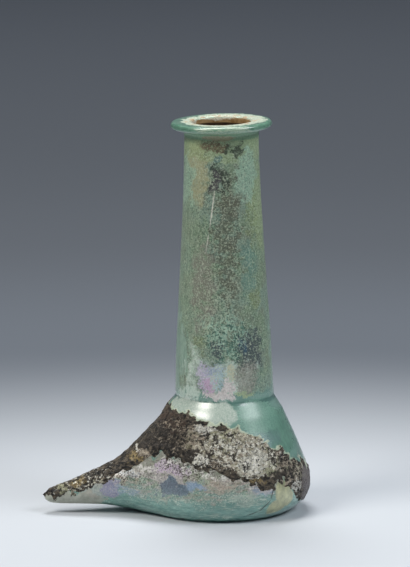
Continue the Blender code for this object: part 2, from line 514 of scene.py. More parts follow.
@dataclass(frozen=True)
class Flask:
    """The blown glass, with the film and the soil that lie flat on it. All of its glass is one piece: the
    spine runs through the hollow and tells the outer skin from the inner one, the crease and the swelling
    are where a tool nipped the foot of the neck, and the waves are those of a wall blown by mouth."""

    band: CrustBand
    spine: tuple[Vector, ...] = tuple(
        Vector(p) * MM for p in ((-0.9, 0, 129), (0.2, 0, 37), (-5, 0, 15), (-25, 0, 12), (-44, 0, 8))
    )
    rim_from: float = 120 * MM
    mouth_r: float = 10.9 * MM
    rim_top_slope: float = 0.3
    neck_r: float = 15 * MM
    crease_z: float = 38.3 * MM
    crease_half_width: float = 0.6 * MM
    crease_depth: float = 0.25 * MM
    swell_z: float = 34.0 * MM
    swell_half_width: float = 2.6 * MM
    swell: float = 0.3 * MM
    wave_size: float = 14 * MM
    wave: float = 0.22 * MM
    joined_within: float = 0.01 * MM
    flattest_fold: float = math.radians(50)
    squarest_corner: float = math.radians(60)
    fineness: int = 2
    margin_width: float = 1.2
    margin_full_at: float = 0.2
    margin_strength: float = 0.75
    # Fresh soda glass has 1.52. Its decayed skin and film gleam more.
    glass_ior: float = 1.6
    soil_ior: float = 1.5

    def build(self) -> bpy.types.Object:
        """Makes the glass and dresses it.

        Returns:
            The piece.
        """
        piece = self.copy_of_node()
        self.add_crease(piece)
        waves = {"texture": clouds("blown_wall", self.wave_size), "texture_coords": "LOCAL"}
        shape_with(piece, "DISPLACE", {**waves, "strength": self.wave, "mid_level": 0.5})
        self.mark_border(piece)
        piece.data.materials.clear()
        piece.data.materials.append(self.outer_glass())
        piece.data.materials.append(self.inner_residue())
        for face in piece.data.polygons:
            face.material_index = OUTER if self.is_outside(face.center, face.normal) else INNER
        pick(piece)
        bpy.ops.object.shade_smooth()
        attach(piece, "root")
        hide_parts("flask")
        log.info("%s: %d faces", piece.name, len(piece.data.polygons))
        return piece

    def copy_of_node(self) -> bpy.types.Object:
        """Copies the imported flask, and gives the copy joined points, four-sided faces and a fine smooth skin.

        Returns:
            The copy.
        """
        piece = bpy.data.objects.new("flask_glass", frame["nodes"]["flask"].data.copy())
        bpy.context.scene.collection.objects.link(piece)
        pick(piece)
        bpy.ops.mesh.customdata_custom_splitnormals_clear()
        bpy.ops.object.mode_set(mode="EDIT")
        bpy.ops.mesh.select_all(action="SELECT")
        bpy.ops.mesh.remove_doubles(threshold=self.joined_within)
        bpy.ops.mesh.tris_convert_to_quads(face_threshold=self.flattest_fold, shape_threshold=self.squarest_corner)
        bpy.ops.mesh.mark_sharp(clear=True)
        bpy.ops.object.mode_set(mode="OBJECT")
        shape_with(piece, "SUBSURF", {"levels": self.fineness, "render_levels": self.fineness})
        return piece

    def add_crease(self, piece: bpy.types.Object) -> None:
        """Presses in the line where the tool nipped the foot of the neck, and swells the glass under it.

        Args:
            piece: The glass.
        """
        for vertex in piece.data.vertices:
            x, y, z = vertex.co
            radius = math.hypot(x, y)
            if radius > self.neck_r:
                depth = self.crease_depth * math.exp(-(((z - self.crease_z) / self.crease_half_width) ** 2))
                depth -= self.swell * math.exp(-(((z - self.swell_z) / self.swell_half_width) ** 2))
                vertex.co.x -= x / radius * depth
                vertex.co.y -= y / radius * depth

    def mark_border(self, piece: bpy.types.Object) -> None:
        """Keeps on each point how far inside the crust's borders it lies.

        Args:
            piece: The glass.
        """
        for name, measure in (("border", self.band.inside), ("margin", self.band.from_upper)):
            values = [measure(vertex.co) for vertex in piece.data.vertices]
            piece.data.attributes.new(name, "FLOAT", "POINT").data.foreach_set("value", values)

    def is_outside(self, centre: Vector, normal: Vector) -> bool:
        """Tells a face of the outer skin from one of the hollow.

        Args:
            centre: The face's middle.
            normal: The way it faces.

        Returns:
            True for the outer skin.
        """
        on_rim = math.hypot(centre.x, centre.y) > self.mouth_r or normal.z > self.rim_top_slope
        if centre.z > self.rim_from and on_rim:
            return True
        gaps = []
        for a, b in zip(self.spine, self.spine[1:]):
            along = b - a
            t = min(max((centre - a).dot(along) / along.length_squared, 0.0), 1.0)
            gaps.append(centre - (a + along * t))
        return min(gaps, key=lambda gap: gap.length).dot(normal) > 0

    def outer_glass(self) -> bpy.types.Material:
        """Blown soda glass, blue-green from its iron: clear and glossy where burial spared it.

        Returns:
            The material.
        """
        bare = Coat("#7fae9f", "#9cc6b6", Grain.CLOUD, 0.24, 0.35)
        paint = Paint("blown_soda_glass", bare, self.glass_ior, coat_weight=1.0)
        for coat in NECK_COATS + BODY_COATS + RIM_COATS:
            paint.lay(coat)
        paint.lay_along_border(CRUST_MARGIN, self.margin_width, self.margin_full_at, self.margin_strength)
        return paint.finish()

    def inner_residue(self) -> bpy.types.Material:
        """Weathered glass, and soil that was washed into the hollow and dried there, with painted shade deep
        inside: matt and brownish.

        Returns:
            The material.
        """
        bare = Coat("#7f8a74", "#b4baa0", Grain.MOTTLE, 0.6, 0.25)
        paint = Paint("soil_and_shade_in_the_hollow", bare, self.soil_ior)
        for coat in HOLLOW_COATS:
            paint.lay(coat)
        return paint.finish()


@dataclass(frozen=True)
class BurialCrust:
    """The rough dark crust over the horn and round the body, as a thin piece on the glass. It stands a
    little proud of the glass, in lumps with grit on them, and thins out over the fade at its borders. A
    pattern's level is the part of it that lies level with the glass. The crust is taken from the glass a
    little wider than it is kept. The fields from taken_from on are in millimetres from the border."""

    band: CrustBand
    sunk: float = 0.12 * MM
    thickness: float = 0.42 * MM
    lump: float = 0.7 * MM
    lump_size: float = 2.6 * MM
    lump_level: float = 0.45
    grit: float = 0.3 * MM
    grit_size: float = 0.7 * MM
    grit_level: float = 0.5
    shell: float = 0.2 * MM
    ior: float = 1.5
    taken_from: float = -1.2
    kept_from: float = -0.15
    fade_from: float = -0.3
    fade: float = 1.6
    margin_width: float = 0.8
    margin_full_at: float = 0.0
    margin_strength: float = 0.7

    def build(self, glass: bpy.types.Object) -> bpy.types.Object:
        """Makes the crust from the glass's own skin.

        Args:
            glass: The finished glass.

        Returns:
            The piece.
        """
        piece = bpy.data.objects.new("burial_crust", glass.data.copy())
        bpy.context.scene.collection.objects.link(piece)
        self.keep_faces(piece, self.taken_from, outer_only=True)
        shape_with(piece, "SUBSURF", {"levels": 1, "render_levels": 1, "subdivision_type": "SIMPLE"})
        self.weigh(piece)
        relief = (
            (self.thickness, 0.0, None),
            (self.lump, self.lump_level, clouds("lumps", self.lump_size)),
            (self.grit, self.grit_level, clouds("grit", self.grit_size, depth=3)),
        )
        for strength, middle, pattern in relief:
            rise = {"texture": pattern, "texture_coords": "LOCAL", "strength": strength, "mid_level": middle}
            shape_with(piece, "DISPLACE", {**rise, "vertex_group": "crust"})
        shape_with(piece, "DISPLACE", {"strength": -self.sunk, "mid_level": 0.0})
        self.keep_faces(piece, self.kept_from, outer_only=False)
        self.clean_border(piece)
        shape_with(piece, "SOLIDIFY", {"thickness": self.shell, "offset": -1.0})
        piece.data.materials.clear()
        piece.data.materials.append(self.material())
        pick(piece)
        bpy.ops.object.shade_smooth()
        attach(piece, "root")
        log.info("%s: %d faces", piece.name, len(piece.data.polygons))
        return piece

    def keep_faces(self, piece: bpy.types.Object, least: float, outer_only: bool) -> None:
        """Deletes the faces that lie outside the crust.

        Args:
            piece: The piece.
            least: How far inside the borders a face has to lie, in millimetres.
            outer_only: Whether the faces of the hollow go too.
        """
        border = piece.data.attributes["border"].data
        gone = []
        for face in piece.data.polygons:
            value = sum(border[v].value for v in face.vertices) / len(face.vertices)
            gone.append(value < least or (outer_only and face.material_index == INNER))
        delete_faces(piece, gone)

    def clean_border(self, piece: bpy.types.Object) -> None:
        """Parts the border where it touches itself, at points with more than two edges of it, and deletes
        the crumbs that lie apart from the crust.

        Args:
            piece: The piece.
        """
        while True:
            uses = Counter(key for face in piece.data.polygons for key in face.edge_keys)
            ends = Counter(end for key, count in uses.items() if count == 1 for end in key)
            pinched = {end for end, count in ends.items() if count > 2}
            if not pinched:
                break
            delete_faces(piece, [bool(pinched.intersection(face.vertices)) for face in piece.data.polygons])
        border = piece.data.attributes["border"].data
        depths = [border[face.vertices[0]].value for face in piece.data.polygons]
        deepest = depths.index(max(depths))
        select_faces(piece, [index == deepest for index in range(len(depths))])
        bpy.ops.mesh.select_linked()
        bpy.ops.mesh.select_all(action="INVERT")
        bpy.ops.mesh.delete(type="FACE")
        bpy.ops.object.mode_set(mode="OBJECT")

    def weigh(self, piece: bpy.types.Object) -> None:
        """Gives each point its share of the relief, which fades out at the borders.

        Args:
            piece: The piece.
        """
        depths = [self.band.inside(vertex.co) for vertex in piece.data.vertices]
        margins = [self.band.from_upper(vertex.co) for vertex in piece.data.vertices]
        piece.data.attributes["border"].data.foreach_set("value", depths)
        piece.data.attributes["margin"].data.foreach_set("value", margins)
        group = piece.vertex_groups.new(name="crust")
        for index, depth in enumerate(depths):
            group.add([index], min(max((depth - self.fade_from) / self.fade, 0.0), 1.0), "REPLACE")

    def material(self) -> bpy.types.Material:
        """Soil and decayed glass grown together: dark and matt, with bright flakes that are partly painted glints.

        Returns:
            The material.
        """
        paint = Paint("burial_crust", Coat("#1c1712", "#544a3d", Grain.MOTTLE, 0.75), self.ior)
        for coat in CRUST_COATS:
            paint.lay(coat)
        paint.lay_along_border(CRUST_MARGIN, self.margin_width, self.margin_full_at, self.margin_strength)
        return paint.finish()


# For the tables: the grains by their bare names, and a reach that goes past the whole flask. A coat is its
# dark, light, grain, roughness, clearness, relief, flaking, tear, opacity and patches.
SPECK, GRIT, FLAKE, MOTTLE, LUMP, CLOUD, STREAK, CHIP, VEIN, DRIFT = Grain
ALL_ROUND = 300
EVERYWHERE = (ALL_ROUND, ALL_ROUND, ALL_ROUND)

# The neck is milky all round, with stains and spots on the side that was seen
NECK = Patch((-0.5, 0, 83.2), (ALL_ROUND, ALL_ROUND, 42), 1.0, 0.06)
NECK_COATS = (
    # Milky skin, clouded olive and green, and pale streaks down the left, partly painted light where the left edge
    # shines
    Coat("#5c7766", "#b0cab6", SPECK, 0.36, 0.25, 0.0, 0.3, MOTTLE, 1.0, (NECK,)),
    Coat("#5c5e48", "#a4a68c", SPECK, 0.42, 0.15, 0.0, 1.0, CLOUD, 0.6, (
        Patch((-0.5, 0, 81.5), (ALL_ROUND, ALL_ROUND, 40), 0.48, 0.2),
    )),
    Coat("#5f7c60", "#b0cda4", SPECK, 0.36, 0.2, 0.0, 1.0, CLOUD, 0.6, (
        Patch((-0.5, 0, 81.5), (ALL_ROUND, ALL_ROUND, 40), 0.46, 0.2),
        Patch((9.5, -7, 92), (4, 9, 30), 0.7, 0.5),
    )),
    # Partly painted light: the left edge of the neck is streaked paler where it shines
    Coat("#7a9880", "#c0d4b6", STREAK, 0.35, 0.22, 0.0, 0.8, STREAK, 0.6, (
        Patch((-12, -4, 85), (5, 16, 44), 0.6, 0.4),
    )),
    # Brown and olive stains
    Coat("#6c665c", "#bcb4a8", SPECK, 0.42, 0.15, 0.0, 1.0, MOTTLE, 0.65, (
        Patch((-8, -12, 76), (5, 8, 18), 0.62),
    )),
    Coat("#3c3828", "#86806a", SPECK, 0.45, 0.1, 0.0, 1.2, MOTTLE, 0.7, (
        Patch((-0.5, -13, 92), (5, 9, 28), 0.6),
        Patch((1, 12, 80), (9, 8, 30), 0.55),
    )),
    Coat("#66744c", "#aebc88", SPECK, 0.4, 0.15, 0.0, 1.0, MOTTLE, 0.65, (
        Patch((8, -9, 100), (4, 7, 12), 0.6),
        Patch((9.1, -11.2, 71.5), (2.6, 5, 4), 0.7),
        Patch((-9.5, -11, 56), (3, 5, 6), 0.55),
        Patch((-4, 12, 100), (8, 8, 18), 0.6),
    )),
    # Tan on the left; yellow-green under the rim, painted lighter to lift the shade under the rim; pale green and
    # teal on the right
    Coat("#9a9a72", "#dcdab0", SPECK, 0.45, 0.1, 0.0, 0.8, MOTTLE, 0.85, (
        Patch((-9.6, -7, 117), (3, 8, 8), 0.85, 0.5),
        Patch((-9, -8, 106), (3.2, 8, 7), 0.6),
    )),
    # Painted light: the band under the rim is lightened against the rim's shade, with a yellow-green tint
    Coat("#8aa070", "#ccdca8", SPECK, 0.4, 0.15, 0.0, 0.8, CLOUD, 0.7, (
        Patch((0, 0, 121.5), (ALL_ROUND, ALL_ROUND, 5), 0.8, 0.5),
        Patch((11, -6, 104), (4, 9, 18), 0.7, 0.5),
    )),
    Coat("#84b298", "#d4f0d4", SPECK, 0.3, 0.25, 0.0, 1.0, MOTTLE, 0.85, (
        Patch((6.2, -10, 112.5), (4.4, 8, 9), 0.85),
        Patch((-12.5, -4, 110), (3, 8, 10), 0.7),
    )),
    Coat("#55867a", "#9ccab8", SPECK, 0.3, 0.3, 0.0, 1.0, MOTTLE, 0.6, (
        Patch((6.6, -13, 82), (4, 8, 10), 0.65),
        Patch((-3.4, -13, 99.5), (1.6, 5, 2.4), 0.7),
    )),
    # Dark, rusty, plum and teal stains near the rim
    Coat("#142019", "#4b5546", SPECK, 0.4, 0.1, 0.0, 1.4, MOTTLE, 0.85, (
        Patch((-3.4, -11.5, 111.8), (4, 6, 6), 0.7, 0.7),
        Patch((2.6, -12, 121.4), (5.2, 6, 3), 0.56, 0.7),
    )),
    Coat("#3c2a1e", "#97785e", SPECK, 0.4, 0.1, 0.0, 1.4, SPECK, 0.85, (
        Patch((-5.4, -12, 122.4), (5.4, 6, 2.2), 0.62),
    )),
    Coat("#423b44", "#6a5f6a", SPECK, 0.35, 0.1, 0.0, 1.0, MOTTLE, 0.7, (
        Patch((-4.4, -11.5, 110.5), (2, 6, 4), 0.6),
    )),
    Coat("#44686c", "#7ba6a2", SPECK, 0.35, 0.1, 0.0, 1.0, MOTTLE, 0.8, (
        Patch((-4.4, -11.5, 118.4), (1.6, 6, 1.6), 0.7),
    )),
    # Dark green, slate and blue above the foot
    Coat("#1f4f46", "#5f9886", SPECK, 0.3, 0.2, 0.0, 1.2, MOTTLE, 0.8, (
        Patch((-0.6, -15.5, 58), (8.5, 6, 9), 0.62),
    )),
    Coat("#28343c", "#57636c", SPECK, 0.32, 0.1, 0.0, 1.0, MOTTLE, 0.85, (
        Patch((7, -13.6, 54.6), (5.4, 6, 8.4), 0.74),
        Patch((-3.6, -15, 56), (3.2, 6, 3.4), 0.64),
    )),
    Coat("#234a64", "#3f6c84", SPECK, 0.3, 0.1, 0.0, 1.0, MOTTLE, 0.75, (
        Patch((5, -14.6, 56.5), (3, 6, 3.6), 0.6),
    )),
    # Small dark pits and pale flecks all over
    Coat("#25342c", "#4c5a4e", MOTTLE, 0.4, 0.15, 0.0, 1.8, SPECK, 0.55, (
        Patch((-0.5, 0, 81), (ALL_ROUND, ALL_ROUND, 42), 0.39, 0.1),
        Patch((-1.5, -14, 84), (7, 8, 36), 0.46, 0.5),
    )),
    Coat("#a9bba0", "#dce6cc", MOTTLE, 0.4, 0.15, 0.0, 1.8, SPECK, 0.65, (
        Patch((-0.5, 0, 81), (ALL_ROUND, ALL_ROUND, 42), 0.39, 0.1),
        Patch((-4, -14, 68), (8, 8, 18), 0.46, 0.5),
    )),
    # Curling strands above the foot, and pale streaks down both its sides, partly painted light where the glass
    # edges shine
    Coat("#94bea8", "#d0ecd4", SPECK, 0.35, 0.2, 0.0, 1.2, VEIN, 0.66, (
        Patch((-0.5, -15, 61.5), (10, 8, 7), 0.54),
        Patch((-0.5, -15, 53), (3, 8, 6), 0.5),
        Patch((-11, -10, 50), (5, 8, 9), 0.5),
    )),
    # Partly painted light: pale glassy streaks down both edges of the foot, where the edges glow
    Coat("#7fae96", "#cfead6", STREAK, 0.26, 0.35, 0.0, 1.2, STREAK, 0.7, (
        Patch((-15.6, -2, 53), (4, 10, 18), 0.66),
        Patch((16, 0, 53), (3.2, 9, 18), 0.66),
    )),
    # Thick pale film round the foot
    Coat("#b2c8ba", "#f2fdf0", SPECK, 0.35, 0.1, 0.0, 0.9, LUMP, 0.82, (
        Patch((-2.5, -15, 46.4), (12, 6, 6.8), 0.62, 0.7),
        Patch((-10, -10, 47), (6, 7, 10), 0.6, 0.7),
        Patch((-12, -8, 40.6), (8, 9, 2.4), 0.66, 0.7),
    )),
    # Spots in that film: lilac, pink, blue, cream, white, grey and green
    Coat("#b4aac8", "#efe6f6", SPECK, 0.3, 0.15, 0.0, 1.4, SPECK, 0.85, (
        Patch((-7.8, -13, 46.6), (3.2, 5, 5.6), 0.64, 0.8),
    )),
    Coat("#b48cb4", "#e6c6e0", SPECK, 0.3, 0.15, 0.0, 1.4, SPECK, 0.8, (
        Patch((-6.6, -14, 43.8), (2.2, 5, 4.4), 0.66, 0.9, 8.0),
    )),
    Coat("#6f84ac", "#a8b8dc", SPECK, 0.3, 0.2, 0.0, 1.4, SPECK, 0.7, (
        Patch((-5.4, -14.5, 50), (3.6, 4, 2.6), 0.56, 0.8),
    )),
    Coat("#8fb0bc", "#d2e8ec", SPECK, 0.3, 0.2, 0.0, 1.4, SPECK, 0.8, (
        Patch((-3.4, -14.5, 45.4), (2, 4, 5.6), 0.62, 0.8),
    )),
    Coat("#b4b494", "#e0dec0", SPECK, 0.3, 0.1, 0.0, 1.4, SPECK, 0.85, (
        Patch((0.4, -15, 48.4), (2.6, 5, 3.4), 0.6),
    )),
    Coat("#c8bab8", "#f8f2ee", SPECK, 0.3, 0.1, 0.0, 1.2, SPECK, 0.9, (
        Patch((-3.4, -15, 40.6), (5.6, 5, 1.8), 0.8),
        Patch((-0.4, -15, 43.4), (2.6, 5, 3.2), 0.75),
    )),
    Coat("#6c7064", "#b8b4a8", SPECK, 0.4, 0.1, 0.0, 1.2, SPECK, 0.8, (
        Patch((5.4, -15, 46), (4.2, 5, 5.4), 0.7),
    )),
    Coat("#98a67c", "#ccd8a8", SPECK, 0.4, 0.1, 0.0, 1.4, SPECK, 0.75, (
        Patch((5.4, -15, 40.8), (3.8, 5, 1.2), 0.7),
    )),
    # Painted shade: a smooth dark line along the crease, where its hollow lies in shade
    Coat("#3f7066", "#5f9086", MOTTLE, 0.2, 0.3, 0.0, 0.3, MOTTLE, 0.7, (
        Patch((0, 0, 37.9), (ALL_ROUND, ALL_ROUND, 0.6), 1.0, 0.8, straight=True),
    )),
    # A long pale scratch and its faint ends
    Coat("#c4c6b8", "#e8e6d6", SPECK, 0.4, 0.0, 0.0, 0.9, SPECK, 0.9, (
        Patch((-5.3, -12, 101.5), (0.2, 4, 6.5), 1.0, 0.6, 7.5, True),
        Patch((-6.9, -11.6, 90.5), (0.16, 4, 4.6), 0.62, 0.6, 9.0, True),
        Patch((-8.9, -11, 80.5), (0.14, 4, 4.5), 0.5, 0.6, 12.0, True),
    )),
)

# Haze on the bare shoulder, and iridescent film on the lower body
BODY_COATS = (
    # Streaks and a violet gleam on the bare shoulder
    Coat("#3f7664", "#8cc6a8", STREAK, 0.3, 0.4, 0.0, 1.0, CLOUD, 0.6, (
        Patch((17, -9, 27), (7, 14, 9), 0.75),
    )),
    Coat("#7c8cae", "#b8b4d4", SPECK, 0.3, 0.35, 0.0, 0.4, CLOUD, 0.22, (
        Patch((12.5, -18, 27.4), (5, 9, 4), 0.7, 0.9),
    )),
    # Pale drifts low on the body, and a veil along the crust
    Coat("#509288", "#c4f4e6", DRIFT, 0.26, 0.3, 0.0, 0.8, DRIFT, 0.85, (
        Patch((-12, -16, 4), (44, 18, 8), 0.75, 0.5),
        Patch((0, 16, 4), (30, 16, 6), 0.62, 0.5),
    )),
    Coat("#6ba390", "#a4d0ba", SPECK, 0.34, 0.3, 0.0, 0.8, DRIFT, 0.8, (
        Patch((9.6, -16, 33.4), (8, 9, 5.4), 0.9, 0.6, straight=True),
    )),
    # White film on the shoulder, partly a painted highlight: lightest on the front-left, where the left lamp's
    # highlight falls
    Coat("#bcd4c4", "#f8fff4", SPECK, 0.27, 0.25, 0.0, 0.8, CLOUD, 0.86, (
        Patch((-5, -16, 35), (8, 8, 4), 0.8),
        Patch((-14, -9, 35.6), (7, 9, 3.8), 0.95),
        Patch((4, 17, 32), (14, 9, 6), 0.6),
    )),
    # The film round the body, in grey, olive, rosy and green drifts
    Coat("#7c7468", "#cdc4b6", DRIFT, 0.32, 0.3, 0.0, 1.0, MOTTLE, 0.85, (
        Patch((-12, 0, 14.6), (42, 60, 8.4), 0.8, 0.5),
    )),
    Coat("#66785a", "#b4c4a0", DRIFT, 0.35, 0.3, 0.0, 1.2, DRIFT, 0.7, (
        Patch((-12, 0, 13), (42, 60, 8), 0.5, 0.5),
    )),
    Coat("#9f8f8c", "#ece0d6", SPECK, 0.3, 0.25, 0.0, 1.2, DRIFT, 0.8, (
        Patch((-2, 0, 12.2), (14, 60, 5), 0.62, 0.5),
        Patch((-30, 0, 12), (10, 60, 5), 0.5, 0.5),
    )),
    Coat("#62988a", "#b4dccc", SPECK, 0.24, 0.4, 0.0, 1.2, DRIFT, 0.75, (
        Patch((-12, 0, 9), (42, 60, 6), 0.55, 0.5),
    )),
    # Areas of other colours in the film
    Coat("#6f88a2", "#b4cadc", SPECK, 0.28, 0.2, 0.0, 1.0, DRIFT, 0.8, (
        Patch((9.4, -27, 10.6), (4.4, 6, 2.4), 0.75),
        Patch((-13, -25, 13), (4.4, 6, 2), 0.8),
        Patch((-5, 25, 11), (12, 8, 4.5), 0.6, 0.5),
        Patch((-33, -9, 8.5), (6, 6, 2.6), 0.55),
    )),
    Coat("#a9a2a4", "#efe6e4", SPECK, 0.3, 0.2, 0.0, 1.2, DRIFT, 0.85, (
        Patch((-21, -17, 14.4), (12, 9, 4.4), 0.62),
        Patch((8, -25, 11), (8, 9, 2.6), 0.56),
    )),
    Coat("#8f938e", "#d2d2cc", SPECK, 0.3, 0.2, 0.0, 0.8, LUMP, 0.8, (
        Patch((-42, -6, 8.2), (6, 8, 3), 0.8),
    )),
    Coat("#a8947e", "#e6d6c4", SPECK, 0.3, 0.2, 0.0, 0.8, LUMP, 0.6, (
        Patch((-4.7, -27, 12.6), (7, 8, 2.2), 0.62, 0.7),
        Patch((-34, -9, 12.6), (6, 8, 2), 0.6, 0.7),
    )),
    Coat("#84a68e", "#c8dcb8", SPECK, 0.3, 0.25, 0.0, 0.8, LUMP, 0.6, (
        Patch((-9, -26, 15), (5, 8, 2), 0.6, 0.7),
        Patch((4, -27, 9.6), (6, 8, 1.8), 0.6, 0.7),
        Patch((-26, -15, 12), (5, 8, 1.6), 0.55, 0.7),
    )),
    Coat("#b49abc", "#f4e4f2", SPECK, 0.28, 0.2, 0.0, 1.0, LUMP, 0.85, (
        Patch((-20.5, -18, 17), (6.5, 8, 2.4), 0.76, 0.7),
        Patch((-14, -21, 17.6), (4, 8, 1.6), 0.5, 0.7),
        Patch((-26, 12, 13), (7, 6, 3.6), 0.7),
    )),
    Coat("#7470a0", "#b4b0cc", SPECK, 0.28, 0.2, 0.0, 1.0, MOTTLE, 0.8, (
        Patch((-37.7, -7, 9.4), (3.4, 5, 2.8), 0.8),
    )),
    Coat("#8fa89a", "#dcead8", DRIFT, 0.28, 0.25, 0.0, 1.2, DRIFT, 0.8, (
        Patch((3, -24, 7.4), (9, 12, 3), 0.66),
        Patch((-18, -20, 7.4), (9, 12, 1.6), 0.5),
        Patch((-5, -22, 2.6), (10, 12, 1.3), 0.5),
    )),
    # Small black pits and pale flecks
    Coat("#1d1a15", "#443d32", MOTTLE, 0.45, 0.1, 0.0, 1.8, SPECK, 0.6, (
        Patch((-12, 0, 15), (42, 60, 7), 0.4, 0.4),
    )),
    Coat("#c4c2b4", "#f0ece0", MOTTLE, 0.35, 0.1, 0.0, 1.8, SPECK, 0.6, (
        Patch((-12, 0, 12), (42, 60, 8), 0.4, 0.4),
    )),
    # The slate spot and the blue beside it
    Coat("#40506a", "#8094a2", SPECK, 0.25, 0.15, 0.0, 1.0, MOTTLE, 0.85, (
        Patch((-19.6, -21, 11.4), (6.6, 8, 2.5), 0.8),
    )),
    Coat("#7894b4", "#b8cee2", SPECK, 0.25, 0.15, 0.0, 1.2, DRIFT, 0.75, (
        Patch((-12, -24, 12.6), (3.4, 8, 1.5), 0.7),
    )),
    # Bright flakes and black grit under the crust
    Coat("#b4bfc8", "#eef4f6", SPECK, 0.25, 0.1, 0.0, 1.0, CHIP, 0.9, (
        Patch((-32, -9, 14), (2.6, 4, 1.6), 0.8),
    )),
    Coat("#bcb8b2", "#fffdf6", SPECK, 0.3, 0.1, 0.0, 1.4, CHIP, 0.92, (
        Patch((-14, -19, 18.4), (13, 9, 1.8), 0.52, 0.5),
        Patch((-27, -11, 16.8), (3.4, 9, 1.9), 0.66, 0.5),
        Patch((-5, -25, 15.6), (6, 6, 1.4), 0.52, 0.5),
        Patch((-33, -8, 14), (7, 9, 2), 0.52, 0.5),
    )),
    Coat("#17130f", "#3a332a", SPECK, 0.6, 0.0, 0.0, 1.6, SPECK, 0.9, (
        Patch((-12, -20, 18), (18, 9, 3.4), 0.47, 0.5),
        Patch((-36, -8, 13), (14, 9, 3), 0.45, 0.5),
    )),
    # The yellow patch on the right
    Coat("#9a9a76", "#dcdaae", MOTTLE, 0.3, 0.15, 0.0, 0.5, LUMP, 0.93, (
        Patch((17.2, -22.5, 8.6), (3.2, 9, 5), 0.9, 0.3, -24.0, True),
        Patch((14.8, -22.5, 5), (4.6, 9, 2.4), 0.9, 0.4, -24.0, True),
    )),
    # Pale deposit under the horn's tip
    Coat("#a09a8a", "#cac6b8", MOTTLE, 0.45, 0.1, 0.0, 0.9, MOTTLE, 0.85, (
        Patch((-50, -2, 4.6), (12, 8, 3.4), 0.9, 0.5),
    )),
    # The thin crack in front of the yellow patch
    Coat("#221f19", "#3c382f", SPECK, 0.6, 0.0, 0.0, 0.3, SPECK, 0.85, (
        Patch((12.9, -24.8, 10.2), (0.22, 6, 2.7), 1.0, 0.5, 16.0, True),
        Patch((10.4, -25.4, 5.8), (0.22, 6, 2.9), 1.0, 0.5, 48.0, True),
        Patch((6.2, -25.6, 3.3), (0.22, 6, 2.4), 0.8, 0.5, 72.0, True),
    )),
)

# The bare bright edge of the rim, with a painted highlight paler on its front, and the pale deposit on its top with
# traces of soil
RIM_COATS = (
    Coat("#5ea284", "#a4dcbc", MOTTLE, 0.16, 0.5, 0.0, 0.3, MOTTLE, 1.0, (
        Patch((-0.9, 0, 127.4), (ALL_ROUND, ALL_ROUND, 2.3), 1.0, 0.1, straight=True),
    )),
    # Painted highlight: the front of the rim's edge is paler, where the lamps shine on it
    Coat("#8fae94", "#dfeacf", SPECK, 0.3, 0.2, 0.0, 1.0, DRIFT, 0.75, (
        Patch((-2, -16, 127.6), (12, 6, 2), 0.6, 0.4, straight=True),
    )),
    Coat("#6f9c7c", "#a6cca4", SPECK, 0.42, 0.3, 0.0, 0.3, MOTTLE, 0.85, (
        Patch((-0.9, 0, 125), (ALL_ROUND, ALL_ROUND, 1.2), 1.0, 0.3, straight=True),
    )),
    Coat("#9cac90", "#eef2e2", SPECK, 0.4, 0.1, 0.0, 1.0, MOTTLE, 0.92, (
        Patch((-0.9, 0, 131.5), (17.2, 17.2, 5.2), 0.76, 0.14, straight=True),
    )),
    Coat("#94683c", "#c8a070", SPECK, 0.6, 0.0, 0.0, 1.0, MOTTLE, 0.8, (
        Patch((-0.9, 0, 129), (12.6, 12.6, 3), 0.5, 0.2),
    )),
    Coat("#8c7a5c", "#bca684", SPECK, 0.45, 0.1, 0.0, 1.0, MOTTLE, 0.7, (
        Patch((-3, -12, 124.6), (7, 6, 1), 0.7, 0.5, straight=True),
    )),
)

# Dry soil in the mouth with a pale deposit on the lip, and dark soil deep in the hollow that is partly painted
# shade
HOLLOW_COATS = (
    Coat("#8f6a3c", "#c8a878", MOTTLE, 0.85, 0.0, 0.0, 0.7, MOTTLE, 1.0, (
        Patch((-0.9, 0, 130), (ALL_ROUND, ALL_ROUND, 4), 1.0, 0.2, straight=True),
    )),
    Coat("#c2bda2", "#f4eedc", SPECK, 0.6, 0.0, 0.0, 1.0, MOTTLE, 1.0, (
        Patch((-1, 11, 130), (8.6, 8, 2.8), 0.8, 0.3, straight=True),
        Patch((-10.4, 2, 129), (3.4, 8, 3.4), 1.0, 0.3, straight=True),
    )),
    # Partly painted shade: dark brown deep down the neck's hollow and on the floor of the body
    Coat("#1e1309", "#4a351a", MOTTLE, 0.85, 0.0, 0.0, 0.3, MOTTLE, 1.0, (
        Patch((-0.9, 0, 111.5), (ALL_ROUND, ALL_ROUND, 15.2), 1.0, 0.03, straight=True),
        Patch((-6, 0, 2), (26, 22, 6), 0.8, 0.3),
    )),
)

